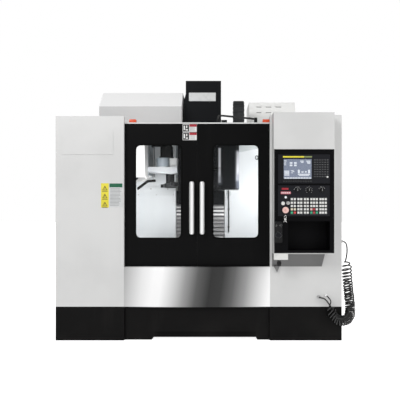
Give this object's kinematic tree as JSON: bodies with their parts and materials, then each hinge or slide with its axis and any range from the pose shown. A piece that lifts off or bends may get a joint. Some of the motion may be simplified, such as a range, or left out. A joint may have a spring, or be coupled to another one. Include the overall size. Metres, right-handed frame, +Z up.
{
  "type": "cnc machining center",
  "caption": "Vertical machining centre in a full enclosure with sliding doors, operator panel, arm type tool changer and a curly air hose",
  "frame": {"origin": "on the floor, under the middle of the machine", "axes": "+X to the operator's right, +Y to the rear, +Z up"},
  "size_m": [2.6351, 2.28, 2.372],
  "materials": {
    "bed": "satin",
    "column": "satin",
    "leveling_feet": "satin",
    "servo_motors": "satin",
    "base_skirts": "satin",
    "left_face": "satin",
    "right_face": "satin",
    "side_walls": "satin",
    "rear_panels": "satin",
    "chip_pans": "satin",
    "apron": "satin",
    "door_tracks": "satin",
    "header_caps": "satin",
    "control_box": "satin",
    "panel_frame": "satin",
    "display_unit": "satin",
    "key_panel": "satin",
    "panel_keys": "satin",
    "storage_pocket": "satin",
    "pendant_body": "satin",
    "service_socket": "satin",
    "electrical_cabinet": "satin",
    "coolant_unit": "satin",
    "drag_chain": "satin",
    "changer_frame": "satin",
    "changer_gearbox": "satin",
    "changer_motors": "satin",
    "magazine_hood": "satin",
    "z_cover": "satin",
    "hose_coil": "satin",
    "hose_ends": "satin",
    "hose_fittings": "satin",
    "door_left": "satin",
    "door_left_pane": "satin",
    "door_left_handle": "satin",
    "door_right": "satin",
    "door_right_pane": "satin",
    "door_right_handle": "satin",
    "saddle": "satin",
    "x_servo": "satin",
    "table": "satin",
    "table_covers": "satin",
    "y_screw": "satin",
    "x_screw": "satin",
    "z_screw": "satin",
    "spindle_head": "satin",
    "head_cover": "satin",
    "spindle": "satin",
    "magazine_disc": "satin",
    "tool_pots": "satin",
    "change_pot": "satin",
    "arm_shaft": "satin",
    "change_arm": "satin",
    "stop_button": "satin",
    "mode_knob": "satin",
    "feed_knob": "satin",
    "rapid_knob": "satin",
    "key_switch": "satin",
    "pendant_wheel": "satin",
    "electrical_door": "satin"
  },
  "bodies": {
    "machine": {"bed": "bed", "column": "column", "leveling_feet": "leveling_feet", "servo_motors": "servo_motors", "base_skirts": "base_skirts", "left_face": "left_face", "right_face": "right_face", "side_walls": "side_walls", "rear_panels": "rear_panels", "chip_pans": "chip_pans", "apron": "apron", "door_tracks": "door_tracks", "header_caps": "header_caps", "control_box": "control_box", "panel_frame": "panel_frame", "display_unit": "display_unit", "key_panel": "key_panel", "panel_keys": "panel_keys", "storage_pocket": "storage_pocket", "pendant_body": "pendant_body", "service_socket": "service_socket", "electrical_cabinet": "electrical_cabinet", "coolant_unit": "coolant_unit", "drag_chain": "drag_chain", "changer_frame": "changer_frame", "changer_gearbox": "changer_gearbox", "changer_motors": "changer_motors", "magazine_hood": "magazine_hood", "z_cover": "z_cover", "hose_coil": "hose_coil", "hose_ends": "hose_ends", "hose_fittings": "hose_fittings"},
    "left_door": {"door_left": "door_left", "door_left_pane": "door_left_pane", "door_left_handle": "door_left_handle"},
    "right_door": {"door_right": "door_right", "door_right_pane": "door_right_pane", "door_right_handle": "door_right_handle"},
    "saddle": {"saddle": "saddle", "x_servo": "x_servo"},
    "table": {"table": "table", "table_covers": "table_covers"},
    "x_screw": {"x_screw": "x_screw"},
    "y_screw": {"y_screw": "y_screw"},
    "z_screw": {"z_screw": "z_screw"},
    "head": {"spindle_head": "spindle_head", "head_cover": "head_cover"},
    "spindle": {"spindle": "spindle"},
    "magazine": {"magazine_disc": "magazine_disc", "tool_pots": "tool_pots"},
    "change_pot": {"change_pot": "change_pot"},
    "arm_shaft": {"arm_shaft": "arm_shaft"},
    "change_arm": {"change_arm": "change_arm"},
    "stop_button": {"stop_button": "stop_button"},
    "mode_knob": {"mode_knob": "mode_knob"},
    "feed_knob": {"feed_knob": "feed_knob"},
    "rapid_knob": {"rapid_knob": "rapid_knob"},
    "key_switch": {"key_switch": "key_switch"},
    "pendant_wheel": {"pendant_wheel": "pendant_wheel"},
    "electrical_door": {"electrical_door": "electrical_door"}
  },
  "joints": [
    {"name": "left_door_slide", "type": "slide", "parent": "machine", "child": "left_door", "axis": [-1, 0, 0], "range_m": [0, 0.56]},
    {"name": "right_door_slide", "type": "slide", "parent": "machine", "child": "right_door", "axis": [1, 0, 0], "range_m": [0, 0.56]},
    {"name": "y_axis", "type": "slide", "parent": "machine", "child": "saddle", "axis": [0, 1, 0], "range_m": [-0.25, 0.25]},
    {"name": "x_axis", "type": "slide", "parent": "saddle", "child": "table", "axis": [1, 0, 0], "range_m": [-0.4, 0.4]},
    {"name": "z_axis", "type": "slide", "parent": "machine", "child": "head", "axis": [0, 0, 1], "range_m": [-0.5, 0], "deforming": ["z_cover"]},
    {"name": "y_screw_turn", "type": "hinge", "parent": "machine", "child": "y_screw", "pos_m": [-0.015, 0, 0.45], "axis": [0, 1, 0], "continuous": true},
    {"name": "x_screw_turn", "type": "hinge", "parent": "saddle", "child": "x_screw", "pos_m": [0, -0.29, 0.66605], "axis": [1, 0, 0], "continuous": true},
    {"name": "z_screw_turn", "type": "hinge", "parent": "machine", "child": "z_screw", "pos_m": [-0.015, 0.345, 1], "axis": [0, 0, 1], "continuous": true},
    {"name": "spindle_turn", "type": "hinge", "parent": "head", "child": "spindle", "pos_m": [-0.015, -0.29, 1.41], "axis": [0, 0, 1], "continuous": true},
    {"name": "magazine_turn", "type": "hinge", "parent": "machine", "child": "magazine", "pos_m": [-0.63, -0.29, 1.776], "axis": [1, 0, 0], "continuous": true},
    {"name": "pot_tip", "type": "hinge", "parent": "magazine", "child": "change_pot", "pos_m": [-0.63, -0.29, 1.52], "axis": [0, 1, 0], "range_deg": [-90, 0]},
    {"name": "arm_drop", "type": "slide", "parent": "machine", "child": "arm_shaft", "axis": [0, 0, -1], "range_m": [0, 0.115]},
    {"name": "arm_turn", "type": "hinge", "parent": "arm_shaft", "child": "change_arm", "pos_m": [-0.2975, -0.29, 1.4], "axis": [0, 0, 1], "range_deg": [0, 255]},
    {"name": "stop_press", "type": "slide", "parent": "machine", "child": "stop_button", "axis": [0, 1, 0], "range_m": [0, 0.005]},
    {"name": "mode_turn", "type": "hinge", "parent": "machine", "child": "mode_knob", "pos_m": [0.835, -1.112, 1.31], "axis": [0, 1, 0], "range_deg": [-75, 75]},
    {"name": "feed_turn", "type": "hinge", "parent": "machine", "child": "feed_knob", "pos_m": [0.933, -1.112, 1.31], "axis": [0, 1, 0], "range_deg": [-135, 135]},
    {"name": "rapid_turn", "type": "hinge", "parent": "machine", "child": "rapid_knob", "pos_m": [1.042, -1.112, 1.31], "axis": [0, 1, 0], "range_deg": [-60, 60]},
    {"name": "key_turn", "type": "hinge", "parent": "machine", "child": "key_switch", "pos_m": [0.757, -1.112, 1.202], "axis": [0, 1, 0], "range_deg": [0, 90]},
    {"name": "handwheel_turn", "type": "hinge", "parent": "machine", "child": "pendant_wheel", "pos_m": [0.674, -1.14, 0.934], "axis": [0, 1, 0], "continuous": true},
    {"name": "electrical_door_swing", "type": "hinge", "parent": "machine", "child": "electrical_door", "pos_m": [1.07, 1.11975, 1.2], "axis": [0, 0, 1], "range_deg": [-110, 0]}
  ],
  "couplings": [
    {"joint": "y_screw_turn", "follows": "y_axis", "rad_per_m": 628.32},
    {"joint": "x_screw_turn", "follows": "x_axis", "rad_per_m": 628.32},
    {"joint": "z_screw_turn", "follows": "z_axis", "rad_per_m": 628.32}
  ]
}
